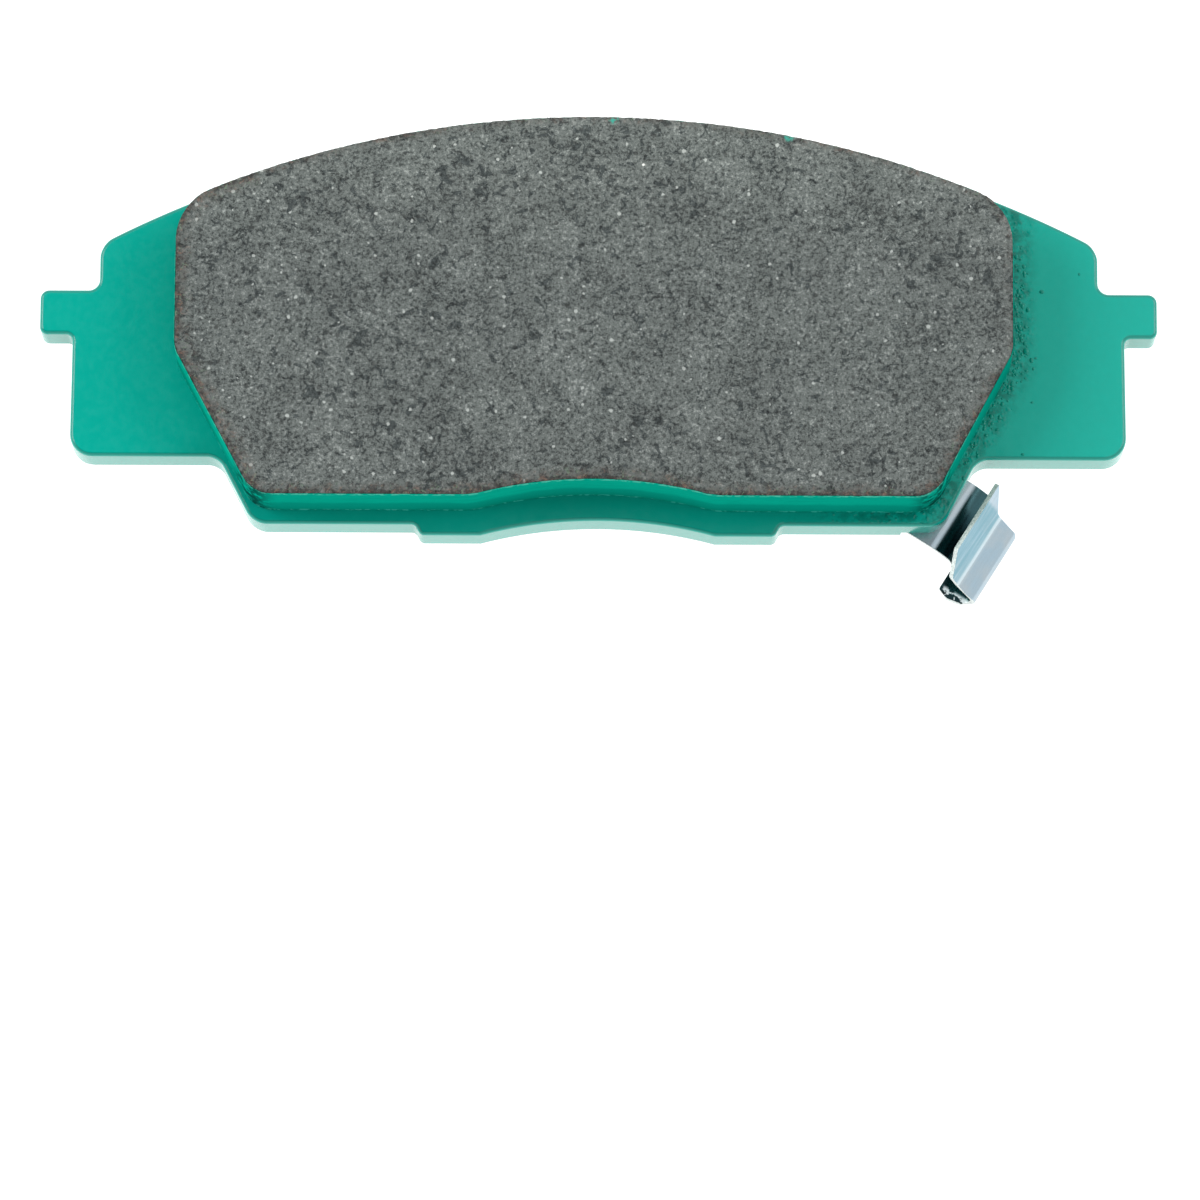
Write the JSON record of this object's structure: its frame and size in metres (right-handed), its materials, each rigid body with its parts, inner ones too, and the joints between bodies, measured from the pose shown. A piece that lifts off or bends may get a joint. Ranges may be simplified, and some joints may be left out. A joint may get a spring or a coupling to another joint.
{
  "type": "brake pad",
  "caption": "Disc brake pad with a green-painted steel backing plate, a ground grey lining and a bent wear indicator at one end.",
  "frame": {"origin": "on the backing plate's back face, on the pad's centre line", "axes": "+X along the pad towards the wear indicator's end, +Y away from the wheel's axle, +Z towards the brake disc"},
  "size_m": [0.1492, 0.0652, 0.0158],
  "materials": {
    "painted_plate": "gloss",
    "adhesive": "matte",
    "underlayer": "matte",
    "friction": "matte",
    "zinc_spring_steel": "satin",
    "rivet_steel": "satin"
  },
  "bodies": {
    "root": {"backing_plate": "painted_plate", "indicator_rivet": "rivet_steel", "wear_indicator": "zinc_spring_steel", "bond_film": "adhesive", "underlayer": "underlayer", "friction_block": "friction"}
  },
  "joints": []
}
